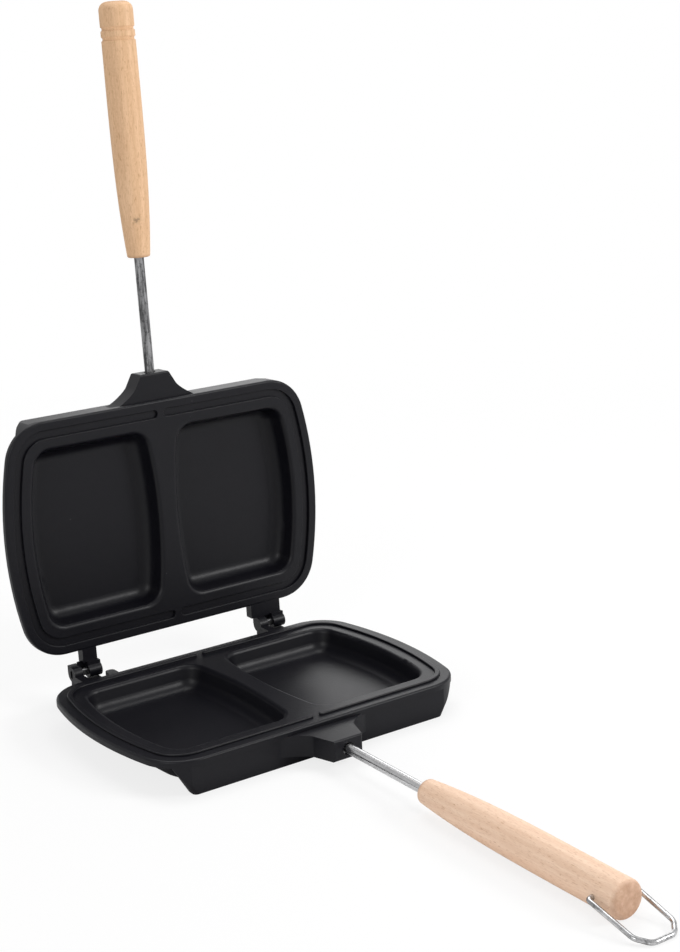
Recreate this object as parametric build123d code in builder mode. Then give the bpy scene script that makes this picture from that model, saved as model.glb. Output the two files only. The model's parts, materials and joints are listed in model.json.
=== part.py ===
from build123d import *
import os
from math import asin, cos, radians, sin, sqrt

# Double pie iron: two cast pans on a take-apart hinge, each with a steel rod and a turned handle.
# +X runs along the hinge, +Y from the handles to the hinge, +Z up.
# The model is built about the middle of the pan, and at the end moved onto its origin,
# the middle of the foot under the base pan's front wall.
# The lid stands open against its stop, which is how the pieces are placed here.

# Both castings, seen from above: straight long sides and bowed ends
pan_length = 230.0
pan_depth = 150.6
end_bow = 12.0
pan_corner = 27.0
pan_height = 22.2
rim_thickness = 4.2

# Front and rear walls, flush with the rim: their lower edges are the feet that a pan stands on
foot_depth = 148.2
foot_corner = 3.0
foot_edge = 1.0
wall_end_inset = 13.75
wall_slope = 59.0
wall_thickness = 9.0

# The bowl between them, raised off the ground: steep up to its shoulder, then its ends sweep out
bowl_lift = 4.4
bowl_end_inset = 20.5
bowl_bow = 5.0
bowl_setback = 2.0
bowl_corner = 28.0
bowl_edge = 6.0
shoulder_height = 12.0
shoulder_end_inset = 17.0
sweep_reach = 9.0
sweep_stations = (0, 0.4, 0.65, 0.85, 0.96, 1)

# Two pockets side by side, with a divider that is narrowest in the middle
pocket_depth = 14.4
land_width = 18.5
divider_width = 14.0
divider_bow = 5.0
pocket_corner = 12.0
pocket_draft = 13.0
pocket_lip = 3.0
rim_edge = 1.5
pocket_fillet = 8.0

# Seal: a ridge on the base, which lies in a groove in the lid
seal_inset = 8.5
ridge_width = 3.4
ridge_height = 1.4
ridge_edge = 0.7
seal_side_clearance = 0.8
seal_top_clearance = 0.5
seal_gap = 4.5
seal_groove_edge = 0.5
parting_gap = 0.1

# Handle bosses and their rods
base_boss_length = 24.0
lid_boss_length = 17.5
boss_tip_width = 20.0
boss_waist_width = 29.2
boss_waist_setback = 9.5
boss_root_width = 62.0
boss_flare = (0.7, 0.5)
boss_thickness = 13.0
boss_edge = 1.2
rod_height = 12.6
rod_diameter = 6.2
rod_tilt = 0.38
rod_socket = 28.0
rod_exposed = 73.8
rod_recess_depth = 1.5
rod_recess_margin = 0.7
fixed_clearance = 0.02

# Lock pins, driven in along the joint between rod and boss
lock_pin_diameter = 2.6
lock_pin_length = 14.0
lock_pin_angle = 225.0

# Turned handles
handle_length = 157.4
handle_tip_diameter = 14.4
handle_shoulder_diameter = 20.1
handle_diameter = 21.4
handle_shoulder_at = 45.0
handle_full_at = 118.0
base_handle_round = 3.5
lid_handle_round = 5.5
handle_tip_round = 1.2
handle_socket = 62.0
bead_inset = 16.5
bead_pitch = 6.0
bead_width = 2.4
bead_depth = 0.9

# Hinge: pins stand in ears on the base, and knuckles on the lid turn on them
hinge_setback = 14.0
left_hinge_inset = 45.0
right_hinge_inset = 44.5
ear_width = 6.0
ear_radius = 4.8
ear_stop_height = 5.0
ear_stop_setback = 1.0
pin_window = 5.0
knuckle_width = 9.0
knuckle_radius = 4.4
pin_diameter = 4.8
pin_flat_depth = 0.7
pin_end_setback = 1.0
running_clearance = 0.08
knockout_width = 2.6
knockout_height = 5.4
knockout_depth = 2.5
lug_thickness = 4.0
lug_clearance = 0.4
lug_overhang = 1.0
lug_end_setback = 1.0
arm_width = 10.0
arm_overhang = 1.7
arm_inset = 0.7
arm_thickness = 6.5
arm_clearance = 0.4
neck_drop = 2.0
neck_overlap = 1.0
web_clearance = 0.4
stop_tab_width = 22.8
stop_clearance = 0.05
open_angle = 93.0
catch_gap = 1.0
catch_width = 6.5
catch_reach = 10.0
catch_drop = 1.5
catch_thickness = 6.0
catch_round = 2.5

# Wire bail that swings over the lid's handle and holds the iron shut
wire_diameter = 2.8
bail_hole_inset = 14.0
bail_side_clearance = 1.9
bail_shoulder_reach = 31.8
bail_shoulder_inset = 0.7
bail_reach = 38.8
bail_bar_width = 14.6
bail_bend_radius = 6.0
bail_eye_radius = 2.0
bail_tail = 9.5
bail_floor_clearance = 0.05

# How far a piece's root reaches into what it is cast in one with
root_overlap = 3.0

os.makedirs("parts", exist_ok=True)

# Places that follow from the sizes above
wall_length = pan_length - 2 * wall_end_inset
bowl_length = pan_length - 2 * bowl_end_inset
shoulder_length = pan_length - 2 * shoulder_end_inset
hinge_left = left_hinge_inset - pan_length / 2
hinge_right = pan_length / 2 - right_hinge_inset
foot_z = pan_height - rim_thickness
parting_z = pan_height + parting_gap / 2
hinge_y = pan_depth / 2 + hinge_setback
hinge_axis = Axis((0, hinge_y, parting_z), (1, 0, 0))
rod_direction = Vector(0, -cos(radians(rod_tilt)), -sin(radians(rod_tilt)))
rod_plane = Plane(origin=(0, -pan_depth / 2, rod_height), x_dir=(1, 0, 0), z_dir=rod_direction)
base_handle_plane = rod_plane.offset(base_boss_length + rod_exposed)
lid_handle_plane = rod_plane.offset(lid_boss_length + rod_exposed)
end_radius = (pan_depth / 2) ** 2 / (2 * end_bow) + end_bow / 2
bail_hole_plane = base_handle_plane.offset(handle_length - bail_hole_inset)
bail_hole = bail_hole_plane.origin


def bowed_outline(plane, length, depth, bow, corner):
    """An outline with straight long sides and ends bowed outwards, on the given plane."""
    straight_end = length / 2 - bow
    with BuildSketch(plane) as outline:
        with BuildLine():
            Line((-straight_end, depth / 2), (straight_end, depth / 2))
            ThreePointArc((straight_end, depth / 2), (length / 2, 0), (straight_end, -depth / 2))
            Line((straight_end, -depth / 2), (-straight_end, -depth / 2))
            ThreePointArc((-straight_end, -depth / 2), (-length / 2, 0), (-straight_end, depth / 2))
        make_face()
        fillet(outline.vertices(), corner)
    return outline.sketch


def pocket_outline(plane):
    """The right-hand pocket's mouth: its outer side runs parallel to the pan's bowed end."""
    half_depth = pan_depth / 2 - land_width
    outer_x = pan_length / 2 - land_width
    inner_radius = end_radius - land_width
    outer_bow = inner_radius - sqrt(inner_radius**2 - half_depth**2)
    inner_x = divider_width / 2
    with BuildSketch(plane) as mouth:
        with BuildLine():
            outer_top = (outer_x - outer_bow, half_depth)
            outer_bottom = (outer_x - outer_bow, -half_depth)
            inner_top = (inner_x + divider_bow, half_depth)
            inner_bottom = (inner_x + divider_bow, -half_depth)
            Line(inner_top, outer_top)
            ThreePointArc(outer_top, (outer_x, 0), outer_bottom)
            Line(outer_bottom, inner_bottom)
            ThreePointArc(inner_bottom, (inner_x, 0), inner_top)
        make_face()
        fillet(mouth.vertices(), pocket_corner)
    return mouth.sketch


def seal_band(plane, width):
    """A band of the given width that follows the rim, open at the middle of front and back."""
    with BuildSketch(plane) as band:
        add(bowed_outline(Plane.XY, pan_length, pan_depth, end_bow, pan_corner))
        offset(amount=-(seal_inset - width / 2), mode=Mode.REPLACE)
        inner = offset(band.sketch, amount=-width, mode=Mode.PRIVATE)
        add(inner, mode=Mode.SUBTRACT)
        Rectangle(seal_gap + width, pan_depth, mode=Mode.SUBTRACT)
        with Locations((-(seal_gap + width) / 2, 0), ((seal_gap + width) / 2, 0)):
            for side in (-1, 1):
                with Locations((0, side * (pan_depth / 2 - seal_inset))):
                    Circle(width / 2)
    return band.sketch


def standing_wall():
    """The front wall, a flat plate that spreads towards the rim, with rounded corners."""
    with BuildPart() as wall:
        with BuildSketch(Plane.XZ.offset((foot_depth - wall_thickness) / 2)):
            Trapezoid(wall_length, foot_z + rim_thickness / 2, wall_slope, align=(Align.CENTER, Align.MAX), rotation=180)
        extrude(amount=wall_thickness / 2, both=True)
        corners = wall.faces().group_by(Axis.X)[0] + wall.faces().group_by(Axis.X)[-1]
        fillet(corners.edges().filter_by(Axis.Y, reverse=True), foot_corner)
        foot = wall.faces().sort_by(Axis.Z)[0]
        fillet(foot.edges(), foot_edge)
        inside_rim = bowed_outline(Plane.XY, pan_length, pan_depth, end_bow, pan_corner)
        extrude(inside_rim, amount=pan_height, mode=Mode.INTERSECT)
    return wall.part


def handle_boss(boss_length):
    """The boss at the middle of the front wall: narrow at its tip, flaring into the wall."""
    boss_end_y = -pan_depth / 2 - boss_length
    tip = (boss_tip_width / 2, boss_end_y)
    waist = (boss_waist_width / 2, -pan_depth / 2 - boss_waist_setback)
    root = (boss_root_width / 2, -foot_depth / 2)
    inner = (boss_root_width / 2, -foot_depth / 2 + root_overlap)
    with BuildPart() as boss:
        with BuildSketch(Plane.XY.offset(rod_height - boss_thickness / 2)):
            with BuildLine():
                side = Line(tip, waist)
                Spline(waist, root, tangents=[side % 1, (1, 0)], tangent_scalars=boss_flare)
                Line(root, inner)
                Line(inner, (0, inner[1]))
                Line(tip, (0, boss_end_y))
                mirror(about=Plane.YZ)
            make_face()
        extrude(amount=boss_thickness)
        tip_face = boss.faces().sort_by(Axis.Y)[0]
        fillet(tip_face.edges(), boss_edge)
    return boss.part


def lock_pin_spot():
    """Where the lock pin's axis crosses the rod's plane: on the rod's own surface."""
    return PolarLocations(rod_diameter / 2, 1, start_angle=lock_pin_angle)


def pan_casting(boss_length):
    """What the two castings share: bowl, rim, pockets and the boss with its rod socket."""
    floor_z = pan_height - pocket_depth
    bowl_depth = pan_depth - 2 * bowl_setback
    with BuildPart() as casting:
        with BuildSketch(Plane.XY.offset(bowl_lift)):
            add(bowed_outline(Plane.XY, bowl_length, bowl_depth, bowl_bow, bowl_corner))
        with BuildSketch(Plane.XY.offset(shoulder_height)):
            add(bowed_outline(Plane.XY, shoulder_length, bowl_depth, bowl_bow, bowl_corner))
        loft()
        fillet(casting.faces().sort_by(Axis.Z)[0].edges(), bowl_edge)
        for share in sweep_stations:
            sweep_out = 1 - sqrt(1 - share**2)
            length = shoulder_length + 2 * sweep_reach * sweep_out
            bow = bowl_bow + (end_bow - bowl_bow) * sweep_out
            with BuildSketch(Plane.XY.offset(shoulder_height + (foot_z - shoulder_height) * share)):
                add(bowed_outline(Plane.XY, length, bowl_depth, bow, bowl_corner))
        loft()
        rim_outline = bowed_outline(Plane.XY.offset(foot_z), pan_length, pan_depth, end_bow, pan_corner)
        extrude(rim_outline, amount=rim_thickness)
        add(standing_wall())
        add(standing_wall().mirror(Plane.XZ))

        mouth = pocket_outline(Plane.XY.offset(pan_height))
        for pocket in (mouth, mouth.mirror(Plane.YZ)):
            extrude(pocket, amount=-pocket_depth, taper=pocket_draft, mode=Mode.SUBTRACT)
        near = parting_gap
        floors = casting.faces().filter_by(Axis.Z).filter_by_position(Axis.Z, floor_z - near, floor_z + near)
        fillet(floors.edges(), pocket_fillet)
        rim = casting.faces().sort_by(Axis.Z)[-1]
        fillet(rim.inner_wires().edges(), pocket_lip)
        rim = casting.faces().sort_by(Axis.Z)[-1]
        fillet(rim.outer_wire().edges(), rim_edge)

        add(handle_boss(boss_length))
        boss_end = rod_plane.offset(boss_length)
        with BuildSketch(boss_end):
            Circle(rod_diameter / 2 + rod_recess_margin)
        extrude(amount=rod_recess_depth, both=True, mode=Mode.SUBTRACT)
        with BuildSketch(boss_end):
            Circle(rod_diameter / 2 + fixed_clearance)
        extrude(amount=-rod_socket, mode=Mode.SUBTRACT)
        with BuildSketch(boss_end):
            with lock_pin_spot():
                Circle(lock_pin_diameter / 2 + fixed_clearance)
        extrude(amount=-(rod_recess_depth + lock_pin_length), mode=Mode.SUBTRACT)
    return casting.part


def opened_lid(piece):
    """Turns a piece of the base half into its twin on the lid, standing open."""
    closed = piece.mirror(Plane.XY.offset(parting_z))
    return closed.rotate(hinge_axis, -open_angle)


def rod_blank(boss_length):
    """A rod with its lock pin's groove."""
    boss_end = rod_plane.offset(boss_length)
    with BuildPart() as rod:
        with BuildSketch(rod_plane.offset(boss_length - rod_socket)):
            Circle(rod_diameter / 2)
        extrude(amount=rod_socket + rod_exposed + handle_socket)
        with BuildSketch(boss_end):
            with lock_pin_spot():
                Circle(lock_pin_diameter / 2 + fixed_clearance)
        extrude(amount=-(rod_recess_depth + lock_pin_length), mode=Mode.SUBTRACT)
    return rod.part


def lock_pin_blank(boss_length):
    """The pin that keys a rod to its boss."""
    with BuildPart() as pin:
        with BuildSketch(rod_plane.offset(boss_length - rod_recess_depth)):
            with lock_pin_spot():
                Circle(lock_pin_diameter / 2)
        extrude(amount=-lock_pin_length)
    return pin.part


def handle_blank(handle_plane, end_round):
    """A turned handle, slim at the rod and full towards its free end, with the rod's socket."""
    profile_plane = Plane(origin=handle_plane.origin, x_dir=rod_direction, z_dir=(1, 0, 0))
    tip_radius = handle_tip_diameter / 2
    full_radius = handle_diameter / 2
    with BuildPart() as handle:
        with BuildSketch(profile_plane):
            with BuildLine():
                Line((0, 0), (0, tip_radius))
                Spline(
                    (0, tip_radius),
                    (handle_shoulder_at, handle_shoulder_diameter / 2),
                    (handle_full_at, full_radius),
                    (handle_length, full_radius),
                )
                Line((handle_length, full_radius), (handle_length, 0))
                Line((handle_length, 0), (0, 0))
            make_face()
        revolve(axis=Axis(handle_plane.origin, rod_direction))
        rims = handle.edges().filter_by(GeomType.CIRCLE).sort_by(Axis(handle_plane.origin, rod_direction))
        fillet(rims[-1], end_round)
        fillet(rims[0], handle_tip_round)
        with BuildSketch(handle_plane):
            Circle(rod_diameter / 2 + fixed_clearance)
        extrude(amount=handle_socket, mode=Mode.SUBTRACT)
    return handle.part


def pin_blank(knuckle_x):
    """A hinge pin, held in its ear and flattened front and back where it shows."""
    start_x = knuckle_x - pin_window - ear_width + knockout_depth
    length = knuckle_x + knuckle_width - pin_end_setback - start_x
    with BuildPart() as pin:
        with BuildSketch(Plane.YZ.offset(start_x)):
            with Locations((hinge_y, parting_z)):
                Circle(pin_diameter / 2)
        extrude(amount=length)
        with BuildSketch(Plane.YZ.offset(knuckle_x - pin_window)):
            for side in (-1, 1):
                with Locations((hinge_y + side * (pin_diameter - pin_flat_depth), parting_z)):
                    Rectangle(pin_diameter, pin_diameter)
        extrude(amount=pin_window, mode=Mode.SUBTRACT)
    return pin.part


# Base pan: the casting with its sealing ridge, hinge ears and side catch
with BuildPart() as base_pan:
    add(pan_casting(base_boss_length))
    extrude(seal_band(Plane.XY.offset(pan_height), ridge_width), amount=ridge_height)
    ridge_tops = base_pan.faces().filter_by(Axis.Z).group_by(Axis.Z)[-1]
    fillet(ridge_tops.edges(), ridge_edge)
    for knuckle_x in (hinge_left, hinge_right):
        ear_x = knuckle_x - pin_window - ear_width
        with BuildSketch(Plane.YZ.offset(ear_x)):
            with Locations((hinge_y, parting_z)):
                Circle(ear_radius)
            neck_length = hinge_setback + root_overlap
            with Locations((hinge_y - neck_length / 2, parting_z - arm_clearance)):
                Rectangle(neck_length, ear_radius - arm_clearance, align=(Align.CENTER, Align.MAX))
            with Locations((hinge_y + ear_stop_setback, parting_z)):
                stop_size = ear_stop_height - ear_stop_setback
                Rectangle(stop_size, ear_stop_height, align=Align.MIN)
        extrude(amount=ear_width)
        with BuildSketch(Plane.YZ.offset(ear_x)):
            lug_reach = hinge_setback + root_overlap + lug_overhang
            with Locations((hinge_y + lug_overhang, parting_z - knuckle_radius - lug_clearance)):
                Rectangle(lug_reach, lug_thickness, align=Align.MAX)
        extrude(amount=ear_width + pin_window + knuckle_width - lug_end_setback)
        with BuildSketch(Plane.YZ.offset(ear_x + knockout_depth)):
            with Locations((hinge_y, parting_z)):
                Circle(pin_diameter / 2 + fixed_clearance)
        extrude(amount=ear_width - knockout_depth, mode=Mode.SUBTRACT)
    with BuildSketch(Plane.YZ.offset(hinge_left - pin_window - ear_width)):
        with Locations((hinge_y, parting_z)):
            SlotOverall(knockout_height, knockout_width, rotation=90)
    extrude(amount=knockout_depth, mode=Mode.SUBTRACT)
    catch_x = hinge_left + knuckle_width + catch_gap
    with BuildSketch(Plane.XY.offset(pan_height - catch_drop)) as catch:
        with Locations((catch_x, pan_depth / 2 - root_overlap)):
            Rectangle(catch_width, catch_reach + root_overlap, align=Align.MIN)
        fillet(catch.vertices().group_by(Axis.Y)[-1], catch_round)
    extrude(amount=-catch_thickness)
base_pan.part.label = "base_pan"

# Lid: the same casting turned over, with the seal's groove, two arms and their knuckles
stop_height = ear_stop_height + stop_clearance


def arm_end(height):
    """Where an arm ends, so that its end lies flat on the ear when the lid is open."""
    turn = radians(open_angle)
    return hinge_y + (height * cos(turn) - stop_height) / sin(turn)


with BuildPart() as closed_lid:
    add(pan_casting(lid_boss_length).mirror(Plane.XY.offset(parting_z)))
    groove_width = ridge_width + 2 * seal_side_clearance
    groove_depth = ridge_height + seal_top_clearance
    lid_face = Plane.XY.offset(2 * parting_z - pan_height)
    extrude(seal_band(lid_face, groove_width), amount=groove_depth, mode=Mode.SUBTRACT)
    groove_wires = closed_lid.faces().sort_by(Axis.Z)[0].inner_wires().sort_by(SortBy.LENGTH)[-2:]
    fillet(groove_wires.edges(), seal_groove_edge)
    arms = (
        (hinge_left, hinge_left - arm_overhang, arm_width),
        (hinge_right, hinge_right + knuckle_width - arm_inset - stop_tab_width, stop_tab_width),
    )
    for knuckle_x, arm_x, width in arms:
        with BuildSketch(Plane.YZ.offset(arm_x)):
            with BuildLine(mode=Mode.ADD):
                low = arm_clearance
                high = arm_clearance + arm_thickness
                wall_y = pan_depth / 2 - root_overlap
                Polyline(
                    (wall_y, parting_z + low),
                    (arm_end(low), parting_z + low),
                    (arm_end(high), parting_z + high),
                    (wall_y, parting_z + high),
                    close=True,
                )
            make_face()
        extrude(amount=width)
        with BuildSketch(Plane.YZ.offset(knuckle_x)):
            with Locations((hinge_y, parting_z)):
                Circle(knuckle_radius)
            with Locations((hinge_y, parting_z - neck_drop)):
                neck_height = knuckle_radius + neck_drop
                Rectangle(stop_height + neck_overlap, neck_height, align=(Align.MAX, Align.MIN))
        extrude(amount=knuckle_width)
        with BuildSketch(Plane.YZ.offset(knuckle_x)):
            web_start = pin_diameter / 2 + web_clearance
            with Locations((hinge_y, parting_z + web_start)):
                web_height = knuckle_radius - web_start
                Rectangle(stop_height + neck_overlap, web_height, align=(Align.MAX, Align.MIN))
        extrude(amount=web_clearance - pin_window)
        with BuildSketch(Plane.YZ.offset(knuckle_x)):
            with Locations((hinge_y, parting_z)):
                Circle(pin_diameter / 2 + running_clearance)
        extrude(amount=knuckle_width, mode=Mode.SUBTRACT)

with BuildPart() as lid_pan:
    add(closed_lid.part.rotate(hinge_axis, -open_angle))
lid_pan.part.label = "lid_pan"

with BuildPart() as left_hinge_pin:
    add(pin_blank(hinge_left))
left_hinge_pin.part.label = "left_hinge_pin"

with BuildPart() as right_hinge_pin:
    add(pin_blank(hinge_right))
right_hinge_pin.part.label = "right_hinge_pin"

with BuildPart() as base_rod:
    add(rod_blank(base_boss_length))
base_rod.part.label = "base_rod"

with BuildPart() as lid_rod:
    add(opened_lid(rod_blank(lid_boss_length)))
lid_rod.part.label = "lid_rod"

with BuildPart() as base_rod_pin:
    add(lock_pin_blank(base_boss_length))
base_rod_pin.part.label = "base_rod_pin"

with BuildPart() as lid_rod_pin:
    add(opened_lid(lock_pin_blank(lid_boss_length)))
lid_rod_pin.part.label = "lid_rod_pin"

# Base handle: plain, with the bail's hole bored across it near the free end
bail_hole_diameter = wire_diameter + 2 * running_clearance
with BuildPart() as base_handle:
    add(handle_blank(base_handle_plane, base_handle_round))
    with BuildSketch(Plane(origin=bail_hole, x_dir=(0, 1, 0), z_dir=(1, 0, 0))):
        Circle(bail_hole_diameter / 2)
    extrude(amount=handle_diameter, both=True, mode=Mode.SUBTRACT)
base_handle.part.label = "base_handle"

# Lid handle: two turned grooves near the free end, where the bail drops in
with BuildPart() as grooved_handle:
    add(handle_blank(lid_handle_plane, lid_handle_round))
    profile = Plane(origin=lid_handle_plane.origin, x_dir=rod_direction, z_dir=(1, 0, 0))
    with BuildSketch(profile):
        for inset in (bead_inset, bead_inset + bead_pitch):
            with Locations((handle_length - inset, handle_diameter / 2)):
                Ellipse(bead_width / 2, bead_depth)
    revolve(axis=Axis(lid_handle_plane.origin, rod_direction), mode=Mode.SUBTRACT)

with BuildPart() as lid_handle:
    add(opened_lid(grooved_handle.part))
lid_handle.part.label = "lid_handle"

# Bail: one bent wire whose ends turn in across the handle, lying with its bar on the floor
leg_x = handle_diameter / 2 + bail_side_clearance + wire_diameter / 2
eye_drop = bail_hole.Z - wire_diameter / 2 - bail_floor_clearance
bail_droop = asin(eye_drop / bail_reach)
bail_plane = Plane(origin=bail_hole, x_dir=(1, 0, 0), z_dir=(0, -sin(bail_droop), cos(bail_droop)))
with BuildPart() as bail:
    with BuildLine(bail_plane) as centre_line:
        shoulder_x = leg_x - bail_shoulder_inset
        FilletPolyline(
            (leg_x - bail_tail, 0),
            (leg_x, 0),
            (shoulder_x, -bail_shoulder_reach),
            (bail_bar_width / 2, -bail_reach),
            (-bail_bar_width / 2, -bail_reach),
            (-shoulder_x, -bail_shoulder_reach),
            (-leg_x, 0),
            (-leg_x + bail_tail, 0),
            radius=(bail_eye_radius,) + (bail_bend_radius,) * 4 + (bail_eye_radius,),
        )
    with BuildSketch(Plane(origin=centre_line.line @ 0, z_dir=centre_line.line % 0)):
        Circle(wire_diameter / 2)
    sweep()
bail.part.label = "bail"

pieces = (
    base_pan,
    lid_pan,
    left_hinge_pin,
    right_hinge_pin,
    base_rod,
    lid_rod,
    base_rod_pin,
    lid_rod_pin,
    base_handle,
    lid_handle,
    bail,
)
front_foot = Location((0, (foot_depth - wall_thickness) / 2, 0))
for piece in pieces:
    export_step(piece.part.moved(front_foot), f"parts/{piece.part.label}.step")
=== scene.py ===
import json
import math

import bpy
from mathutils import Matrix, Vector


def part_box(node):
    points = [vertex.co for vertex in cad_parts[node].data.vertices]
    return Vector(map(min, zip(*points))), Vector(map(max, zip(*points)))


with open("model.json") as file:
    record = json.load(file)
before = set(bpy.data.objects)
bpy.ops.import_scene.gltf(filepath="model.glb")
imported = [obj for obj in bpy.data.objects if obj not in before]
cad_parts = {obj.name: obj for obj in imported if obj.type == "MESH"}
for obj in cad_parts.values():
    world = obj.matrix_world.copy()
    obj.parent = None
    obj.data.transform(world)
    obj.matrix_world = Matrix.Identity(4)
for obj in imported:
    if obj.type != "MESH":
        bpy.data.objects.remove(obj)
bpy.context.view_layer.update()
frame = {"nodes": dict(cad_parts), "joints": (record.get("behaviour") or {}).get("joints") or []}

bl_info = {
    "name": "Pie Iron",
    "version": (1, 0, 0),
    "blender": (4, 5, 0),
    "location": "3D View > Sidebar > Pie Iron",
    "description": "Dresses a double pie iron: coated pans, beech handles, steel rods, pins and bail",
    "category": "Object",
}

JOINTS = {joint["name"]: joint for joint in frame["joints"]}
# The turn that closes the lid from where it stands at rest
OPEN_ANGLE = math.radians(JOINTS["lid_hinge"]["range_deg"][1])
# How far each rod leans out from the plane where the pans meet
ROD_TILT = math.radians(0.38)

# Grain scales are waves per metre. The places in a ramp's stops are noise levels from 0 to 1.
CLOUD_SCALE = 18.0
PEEL_SCALE = 700.0
GRAIN_SCALE = 2600.0
SPECK_SCALE = 60.0
SPECK_GREY = (0.12, 0.12, 0.125, 1)
COATING_SPECULAR = 0.22

PATCH_SCALE = 160.0
SPOT_SCALE = 520.0
# Length and width of one wave of the drawn lines and of the stains
DRAWN_LINE = (0.025, 0.0007)
STAIN_STREAK = (0.026, 0.0022)

# Where a handle's middle lies from the heart of the tree that it was cut from
BASE_HEART = (0.045, 0, 0.03)
LID_HEART = (-0.05, 0, 0.035)
# The knot's place from the middle of the lid's handle, with the handle lying along Y
KNOT_PLACE = (-0.003, -0.055, 0.009)
KNOT_RADIUS = 0.0038
# How strongly stains show on the pins and the wire
MIDDLING_STAIN = 0.5
# How much of the steel's brightness is left in a stain
STAIN_DEPTH = 0.16

RING_SCALE = 75.0
KNOT_WOBBLE_SCALE = 420.0
BLOTCH_SCALE = 240.0
# How much of each channel of the dark tone is left in a fleck, and in the cut end
FLECK_SHADE = (0.70, 0.56, 0.42)
END_SHADE = (0.62, 0.52, 0.46)
KNOT_SHADE = 0.3

FLOOR_SIZE = 12.0
FLOOR_GREY = (0.93, 0.93, 0.93, 1)
# Share of the floor's own light that the camera sees near the iron, and what is added far from it
GLOW_NEAR = 0.8
GLOW_FAR = 0.2
# World strength for matt things, and what polished things see on top of it
ROOM_LIGHT = 0.3
BACKDROP_LIGHT = 0.42
# Each softbox: place, point that it faces, width and height, and watts
SOFTBOXES = {
    "top softbox": ((0.3, 0.5, 1.6), (0, 0, 0.05), (1.2, 0.9), 14.0),
    "front right softbox": ((1.25, -1.35, 1.15), (0, 0, 0.08), (0.8, 0.5), 23.0),
    "rear right softbox": ((1.1, 1.5, 0.75), (0.05, 0, 0), (0.9, 0.6), 3.5),
    "left softbox": ((-1.5, -0.7, 0.9), (0, 0, 0.15), (0.8, 0.9), 8.0),
}
SENSOR_WIDTH = 36.0


class Value:
    """A socket's value. Arithmetic on it adds Math nodes."""

    def __init__(self, surface, socket):
        self.surface = surface
        self.socket = socket

    def _math(self, operation, first, second):
        return self.surface.node("ShaderNodeMath", {"operation": operation}, {0: first, 1: second})

    def __add__(self, other):
        return self._math("ADD", self, other)

    def __radd__(self, other):
        return self._math("ADD", other, self)

    def __sub__(self, other):
        return self._math("SUBTRACT", self, other)

    def __mul__(self, other):
        return self._math("MULTIPLY", self, other)

    def __rmul__(self, other):
        return self._math("MULTIPLY", other, self)

    def __abs__(self):
        return self._math("ABSOLUTE", self, 0.0)


class Surface:
    """One material and the nodes in it."""

    def __init__(self, name):
        self.material = bpy.data.materials.new(name)
        self.material.use_nodes = True
        self.tree = self.material.node_tree
        self.shader = self.tree.nodes["Principled BSDF"]

    def node(self, kind, settings, inputs, output=0):
        """Adds a node: its settings first, then the values or links of its sockets."""
        made = self.tree.nodes.new(kind)
        for name, value in settings.items():
            if name == "stops":
                ramp = made.color_ramp.elements
                while len(ramp) < len(value):
                    ramp.new(0.5)
                for element, (place, colour) in zip(ramp, value):
                    element.position = place
                    element.color = colour
            else:
                setattr(made, name, value)
        for name, value in inputs.items():
            self.link(value, made.inputs[name])
        return Value(self, made.outputs[output])

    def link(self, value, socket):
        if isinstance(value, Value):
            self.tree.links.new(value.socket, socket)
        else:
            socket.default_value = value

    def coordinates(self, turn=(0, 0, 0), move=(0, 0, 0), stretch=(1, 1, 1)):
        """Object coordinates, moved, turned and stretched."""
        place = self.node("ShaderNodeTexCoord", {}, {}, "Object")
        settings = {"vector_type": "POINT"}
        inputs = {"Vector": place, "Location": move, "Rotation": turn, "Scale": stretch}
        return self.node("ShaderNodeMapping", settings, inputs)

    def noise(self, place, scale, detail=2.0, roughness=0.5, distortion=0.0):
        inputs = {
            "Vector": place,
            "Scale": scale,
            "Detail": detail,
            "Roughness": roughness,
            "Distortion": distortion,
        }
        return self.node("ShaderNodeTexNoise", {}, inputs, "Fac")

    def ramp(self, value, stops):
        """The value from 0 to 1 that the stops give between places."""
        colours = [(place, (grey, grey, grey, 1)) for place, grey in stops]
        return self.node("ShaderNodeValToRGB", {"stops": colours}, {"Fac": value})

    def mix(self, factor, first, second):
        settings = {"data_type": "RGBA", "clamp_factor": True}
        return self.node("ShaderNodeMix", settings, {0: factor, 6: first, 7: second}, 2)

    def bump(self, height, distance, strength):
        inputs = {"Height": height, "Distance": distance, "Strength": strength}
        return self.node("ShaderNodeBump", {}, inputs)

    def finish(self, **sockets):
        for name, value in sockets.items():
            self.link(value, self.shader.inputs[name.replace("_", " ")])
        return self.material


def colour(name):
    """A colour property of the scene as the four numbers that a socket takes."""
    return (*getattr(bpy.context.scene.pie_iron, name), 1.0)


def wear(node, material):
    """Puts a material in the node's slots."""
    mesh = frame["nodes"][node].data
    mesh.materials.clear()
    mesh.materials.append(material)


def coating_material():
    """Black non-stick coating: satin, a fine orange peel, a few pale specks."""
    surface = Surface("non-stick coating")
    place = surface.coordinates()
    cloud = surface.noise(place, CLOUD_SCALE, 3.0)
    grain = surface.noise(place, GRAIN_SCALE, 2.0)
    peel = surface.noise(place, PEEL_SCALE, 2.0)
    specks = surface.node("ShaderNodeTexVoronoi", {"feature": "F1"}, {"Vector": place, "Scale": SPECK_SCALE})
    speck = surface.ramp(specks, [(0.0, 1.0), (0.035, 0.0)])
    body = surface.mix(cloud, colour("coating_dark"), colour("coating_light"))
    body = surface.mix(speck * 0.35, body, SPECK_GREY)
    roughness = 0.33 + 0.08 * cloud + 0.05 * grain
    normal = surface.bump(peel * 0.7 + grain * 0.3, 0.00015, 0.45)
    return surface.finish(
        Base_Color=body, Roughness=roughness, Specular_IOR_Level=COATING_SPECULAR, Normal=normal
    )


def shaded(tone, shade):
    """The tone with each channel times its share in the shade."""
    return (*(part * share for part, share in zip(tone, shade)), 1)


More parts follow.
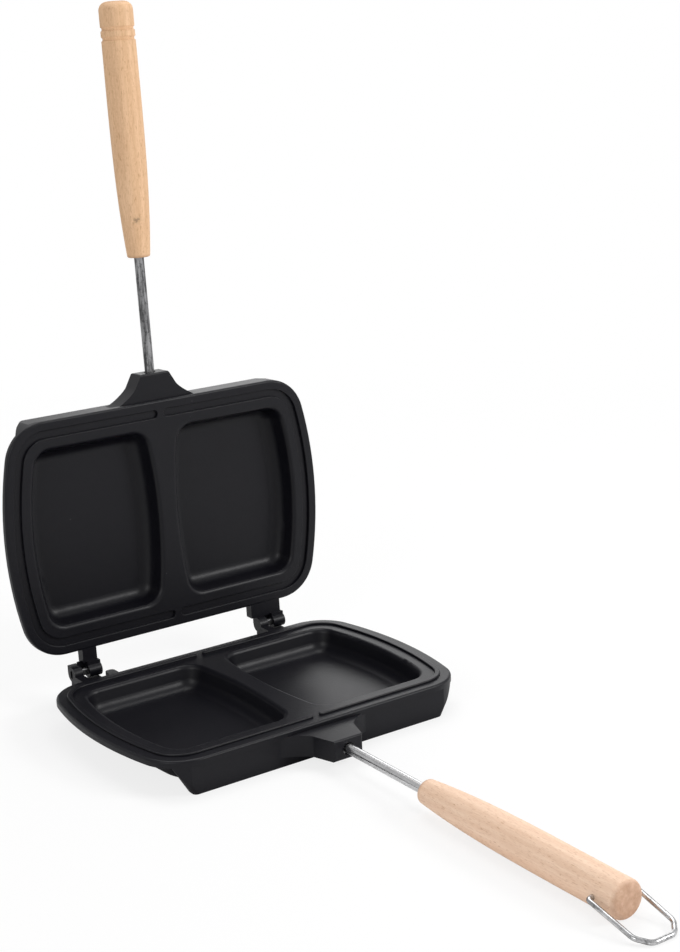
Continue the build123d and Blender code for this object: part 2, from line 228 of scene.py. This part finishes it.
def steel_material(name, base, roughness, along, stain=MIDDLING_STAIN):
    """Drawn bar: fine lines along it, cloudy patches, and dark stains drawn out along it."""
    surface = Surface(name)

    def drawn_out(wave, detail, fineness=0.5):
        """Noise whose waves are long along the bar and narrow across it."""
        length, width = wave
        stretch = tuple(1 / length if axis == along else 1 / width for axis in "XYZ")
        return surface.noise(surface.coordinates(stretch=stretch), 1.0, detail, fineness)

    place = surface.coordinates()
    lines = drawn_out(DRAWN_LINE, 2.0)
    patches = surface.noise(place, PATCH_SCALE, 3.0)
    streaks = surface.ramp(drawn_out(STAIN_STREAK, 5.0, 0.62), [(0.42, 0.0), (0.60, 1.0)])
    spots = surface.ramp(surface.noise(place, SPOT_SCALE, 4.0, 0.65), [(0.52, 0.0), (0.64, 1.0)])
    worn = shaded(base, (STAIN_DEPTH,) * 3)
    tone = surface.mix(patches * 0.3 + streaks * stain + spots * (0.45 * stain), base, worn)
    rough = roughness + 0.08 * lines + 0.12 * patches + 0.15 * stain * streaks
    normal = surface.bump(lines, 0.00003, 0.4)
    return surface.finish(Base_Color=tone, Metallic=1.0, Roughness=rough, Normal=normal)


def beech_material(name, light, dark, node, turn, heart, knot=None):
    """Bare beech: growth rings, streaks and short dark flecks along the handle, and end grain."""
    surface = Surface(name)
    low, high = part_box(node)
    centre = (Vector(low) + Vector(high)) / 2
    lay_down = Matrix.Rotation(turn, 3, "X")
    turned = lay_down @ centre
    place = surface.coordinates(turn=(turn, 0, 0), move=tuple(Vector(heart) - turned))

    def stretched(factor, scale, detail, roughness=0.5, distortion=0.0):
        """Noise whose waves are longer along the handle: the smaller the factor, the longer."""
        settings = {"vector_type": "POINT"}
        longer = surface.node("ShaderNodeMapping", settings, {"Vector": place, "Scale": (1, factor, 1)})
        return surface.noise(longer, scale, detail, roughness, distortion)

    rings = surface.node(
        "ShaderNodeTexWave",
        {"wave_type": "RINGS", "rings_direction": "Y", "wave_profile": "SIN"},
        {"Vector": place, "Scale": RING_SCALE, "Distortion": 3.0, "Detail": 3.0, "Detail Scale": 12.0},
        "Fac",
    )
    clouds = stretched(0.12, 70.0, 3.0, 0.6, 0.3)
    streaks = stretched(0.035, 900.0, 3.0, 0.6)
    flecks = surface.ramp(stretched(0.13, 2100.0, 1.0), [(0.62, 0.0), (0.72, 1.0)])
    pores = surface.ramp(stretched(0.05, 3200.0, 1.0), [(0.56, 0.0), (0.70, 1.0)])
    tone = surface.mix(rings * 0.38 + clouds * 0.5, light, dark)
    tone = surface.mix(surface.ramp(streaks, [(0.38, 0.0), (0.66, 1.0)]) * 0.6, tone, dark)
    tone = surface.mix(flecks * 0.6 + pores * 0.3, tone, shaded(dark, FLECK_SHADE))
    if knot:
        offset, radius = knot
        settings = {"operation": "DISTANCE"}
        spot = surface.node("ShaderNodeVectorMath", settings, {0: place, 1: offset}, "Value")
        wobble = surface.noise(place, KNOT_WOBBLE_SCALE, 3.0, 0.6)
        reach = spot + 2.2 * radius * (wobble - 0.5)
        ring = surface.ramp(reach * (1 / radius), [(0.0, 1.0), (0.3, 0.8), (0.5, 0.25), (1.0, 0.0)])
        tone = surface.mix(ring * 0.8, tone, shaded(dark, (KNOT_SHADE,) * 3))
    along = surface.node("ShaderNodeSeparateXYZ", {}, {"Vector": place}, "Y")
    half_length = (turned - lay_down @ Vector(low)).y
    cut = surface.ramp(abs(along) * (1 / abs(half_length)), [(0.965, 0.0), (0.992, 1.0)])
    blotches = surface.ramp(surface.noise(place, BLOTCH_SCALE, 4.0, 0.6), [(0.34, 0.5), (0.68, 0.9)])
    tone = surface.mix(cut * blotches, tone, shaded(dark, END_SHADE))
    rough = 0.5 + 0.15 * clouds
    normal = surface.bump(streaks * 0.6 - pores * 0.4, 0.00008, 0.35)
    return surface.finish(Base_Color=tone, Roughness=rough, Normal=normal)


class PieIronSettings(bpy.types.PropertyGroup):
    """Sizes and colours of the pie iron's looks."""

    coating_dark: bpy.props.FloatVectorProperty(
        name="Coating, dark",
        description="Darker tone of the castings' coating",
        subtype="COLOR",
        default=(0.0024, 0.0023, 0.0042),
    )
    coating_light: bpy.props.FloatVectorProperty(
        name="Coating, light",
        description="Lighter tone of the castings' coating",
        subtype="COLOR",
        default=(0.0046, 0.0045, 0.0072),
    )
    steel: bpy.props.FloatVectorProperty(
        name="Steel",
        description="Colour of the lid's rod and the pins",
        subtype="COLOR",
        default=(0.42, 0.42, 0.43),
    )
    bright_steel: bpy.props.FloatVectorProperty(
        name="Base rod",
        description="Colour of the base's rod, which is less stained",
        subtype="COLOR",
        default=(0.72, 0.72, 0.73),
    )
    wire: bpy.props.FloatVectorProperty(
        name="Bail",
        description="Colour of the bail's wire",
        subtype="COLOR",
        default=(0.68, 0.68, 0.69),
    )
    base_beech_light: bpy.props.FloatVectorProperty(
        name="Base handle, light",
        description="Lighter tone of the base's handle",
        subtype="COLOR",
        default=(1.0, 0.745, 0.565),
    )
    base_beech_dark: bpy.props.FloatVectorProperty(
        name="Base handle, dark",
        description="Darker tone of the base's handle",
        subtype="COLOR",
        default=(0.84, 0.565, 0.395),
    )
    lid_beech_light: bpy.props.FloatVectorProperty(
        name="Lid handle, light",
        description="Lighter tone of the lid's handle",
        subtype="COLOR",
        default=(0.90, 0.60, 0.37),
    )
    lid_beech_dark: bpy.props.FloatVectorProperty(
        name="Lid handle, dark",
        description="Darker tone of the lid's handle",
        subtype="COLOR",
        default=(0.70, 0.425, 0.23),
    )
    azimuth: bpy.props.FloatProperty(
        name="Camera azimuth",
        description="Angle of the camera round the iron",
        subtype="ANGLE",
        default=math.radians(-34.83),
    )
    elevation: bpy.props.FloatProperty(
        name="Camera elevation",
        description="Angle of the camera above the floor",
        subtype="ANGLE",
        default=math.radians(15.29),
    )
    roll: bpy.props.FloatProperty(
        name="Camera roll",
        description="How far the camera is tipped sideways",
        subtype="ANGLE",
        default=math.radians(-2.14),
    )
    distance: bpy.props.FloatProperty(
        name="Camera distance",
        description="Distance from the camera to the point that it looks at",
        subtype="DISTANCE",
        unit="LENGTH",
        default=1.0738,
    )
    target: bpy.props.FloatVectorProperty(
        name="Camera target",
        description="Point that the camera looks at",
        subtype="XYZ",
        unit="LENGTH",
        default=(0.02829, 0.00935, 0.16307),
    )
    lens: bpy.props.FloatProperty(
        name="Lens",
        description="Focal length for a sensor 36 mm wide",
        subtype="DISTANCE_CAMERA",
        default=97.4,
    )


class PIEIRON_OT_castings(bpy.types.Operator):
    """Coats the two cast pans"""

    bl_idname = "pieiron.castings"
    bl_label = "Coat the castings"

    def execute(self, context):
        coating = coating_material()
        for node in ("base_pan", "lid_pan"):
            wear(node, coating)
        return {"FINISHED"}


class PIEIRON_OT_steel(bpy.types.Operator):
    """Finishes the rods, pins and bail"""

    bl_idname = "pieiron.steel"
    bl_label = "Finish the steel"

    def execute(self, context):
        steel = colour("steel")
        wear("base_rod", steel_material("base rod steel", colour("bright_steel"), 0.16, "Y", 0.12))
        wear("lid_rod", steel_material("lid rod steel", steel, 0.2, "Z", 0.8))
        pins = steel_material("pin steel", steel, 0.22, "X")
        for node in ("left_hinge_pin", "right_hinge_pin", "base_rod_pin", "lid_rod_pin"):
            wear(node, pins)
        wear("bail", steel_material("bright wire", colour("wire"), 0.1, "Y"))
        return {"FINISHED"}


class PIEIRON_OT_handles(bpy.types.Operator):
    """Finishes the handles in beech"""

    bl_idname = "pieiron.handles"
    bl_label = "Finish the handles"

    def execute(self, context):
        light = colour("base_beech_light")
        dark = colour("base_beech_dark")
        beech = beech_material("base handle beech", light, dark, "base_handle", 0, BASE_HEART)
        wear("base_handle", beech)
        light = colour("lid_beech_light")
        dark = colour("lid_beech_dark")
        upright = OPEN_ANGLE - math.pi + ROD_TILT
        knot = (Vector(LID_HEART) + Vector(KNOT_PLACE), KNOT_RADIUS)
        beech = beech_material("lid handle beech", light, dark, "lid_handle", upright, LID_HEART, knot)
        wear("lid_handle", beech)
        return {"FINISHED"}


def area_light(name, place, aim, size, power):
    """Adds a softbox that faces the aim."""
    lamp = bpy.data.lights.new(name, "AREA")
    lamp.shape = "RECTANGLE"
    lamp.size, lamp.size_y = size
    lamp.energy = power
    thing = bpy.data.objects.new(name, lamp)
    bpy.context.scene.collection.objects.link(thing)
    thing.location = place
    thing.rotation_euler = (Vector(aim) - Vector(place)).to_track_quat("-Z", "Y").to_euler()


def studio_world():
    """White to the camera. Polished things see a white backdrop, and matt things a dimmer room."""
    world = bpy.data.worlds.new("studio")
    world.use_nodes = True
    tree = world.node_tree
    path = tree.nodes.new("ShaderNodeLightPath")
    mirrored = tree.nodes.new("ShaderNodeMath")
    mirrored.operation = "MULTIPLY_ADD"
    mirrored.inputs[1].default_value = BACKDROP_LIGHT
    mirrored.inputs[2].default_value = ROOM_LIGHT
    strength = tree.nodes.new("ShaderNodeMath")
    strength.operation = "MAXIMUM"
    tree.links.new(path.outputs["Is Glossy Ray"], mirrored.inputs[0])
    tree.links.new(path.outputs["Is Camera Ray"], strength.inputs[0])
    tree.links.new(mirrored.outputs[0], strength.inputs[1])
    background = tree.nodes["Background"]
    background.inputs["Color"].default_value = (1, 1, 1, 1)
    tree.links.new(strength.outputs[0], background.inputs["Strength"])
    return world


class PIEIRON_OT_stage(bpy.types.Operator):
    """Sets the floor, lights, world and camera"""

    bl_idname = "pieiron.stage"
    bl_label = "Set the stage"

    def execute(self, context):
        bpy.ops.object.select_all(action="DESELECT")
        bpy.ops.mesh.primitive_plane_add(size=FLOOR_SIZE, location=(0, 0, 0))
        floor = context.active_object
        floor.name = "floor"
        paper = Surface("white floor")
        ray = paper.node("ShaderNodeLightPath", {}, {}, "Is Camera Ray")
        settings = {"operation": "LENGTH"}
        middle = paper.node("ShaderNodeVectorMath", settings, {0: paper.coordinates()}, "Value")
        far = paper.ramp(middle * 0.5, [(0.2, 0.0), (0.55, 1.0)])
        glow = paper.node("ShaderNodeEmission", {}, {"Color": (1, 1, 1, 1), "Strength": 1.0})
        plain = Value(paper, paper.shader.outputs["BSDF"])
        share = ray * (GLOW_NEAR + GLOW_FAR * far)
        shown = paper.node("ShaderNodeMixShader", {}, {0: share, 1: plain, 2: glow})
        paper.tree.links.new(shown.socket, paper.tree.nodes["Material Output"].inputs["Surface"])
        floor.data.materials.append(paper.finish(Base_Color=FLOOR_GREY, Roughness=0.9))

        context.scene.world = studio_world()
        for name, (place, aim, size, watts) in SOFTBOXES.items():
            area_light(name, place, aim, size, watts)

        settings = context.scene.pie_iron
        side = Vector((math.cos(settings.azimuth), math.sin(settings.azimuth), 0))
        back = Vector(
            (
                math.sin(settings.azimuth) * math.cos(settings.elevation),
                -math.cos(settings.azimuth) * math.cos(settings.elevation),
                math.sin(settings.elevation),
            )
        )
        up = back.cross(side)
        right = math.cos(settings.roll) * side + math.sin(settings.roll) * up
        upward = back.cross(right)
        camera = bpy.data.objects.new("camera", bpy.data.cameras.new("camera"))
        context.scene.collection.objects.link(camera)
        camera.data.sensor_fit = "HORIZONTAL"
        camera.data.sensor_width = SENSOR_WIDTH
        camera.data.lens = settings.lens
        place = Vector(settings.target) + back * settings.distance
        turn = Matrix((right, upward, back)).transposed()
        camera.matrix_world = Matrix.Translation(place) @ turn.to_4x4()
        context.scene.camera = camera
        context.scene.view_settings.view_transform = "Standard"
        return {"FINISHED"}


class PIEIRON_PT_panel(bpy.types.Panel):
    """Lists the pie iron's settings and steps"""

    bl_idname = "PIEIRON_PT_panel"
    bl_label = "Pie Iron"
    bl_space_type = "VIEW_3D"
    bl_region_type = "UI"
    bl_category = "Pie Iron"

    def draw(self, context):
        for name in PieIronSettings.__annotations__:
            self.layout.prop(context.scene.pie_iron, name)
        for step in STEPS:
            self.layout.operator(step.bl_idname)


STEPS = (PIEIRON_OT_castings, PIEIRON_OT_steel, PIEIRON_OT_handles, PIEIRON_OT_stage)
CLASSES = (PieIronSettings, *STEPS, PIEIRON_PT_panel)


def register():
    for each in CLASSES:
        bpy.utils.register_class(each)
    bpy.types.Scene.pie_iron = bpy.props.PointerProperty(type=PieIronSettings)


def unregister():
    del bpy.types.Scene.pie_iron
    for each in reversed(CLASSES):
        bpy.utils.unregister_class(each)


def main():
    register()
    bpy.ops.pieiron.castings()
    bpy.ops.pieiron.steel()
    bpy.ops.pieiron.handles()
    bpy.ops.pieiron.stage()


if __name__ == "__main__":
    main()
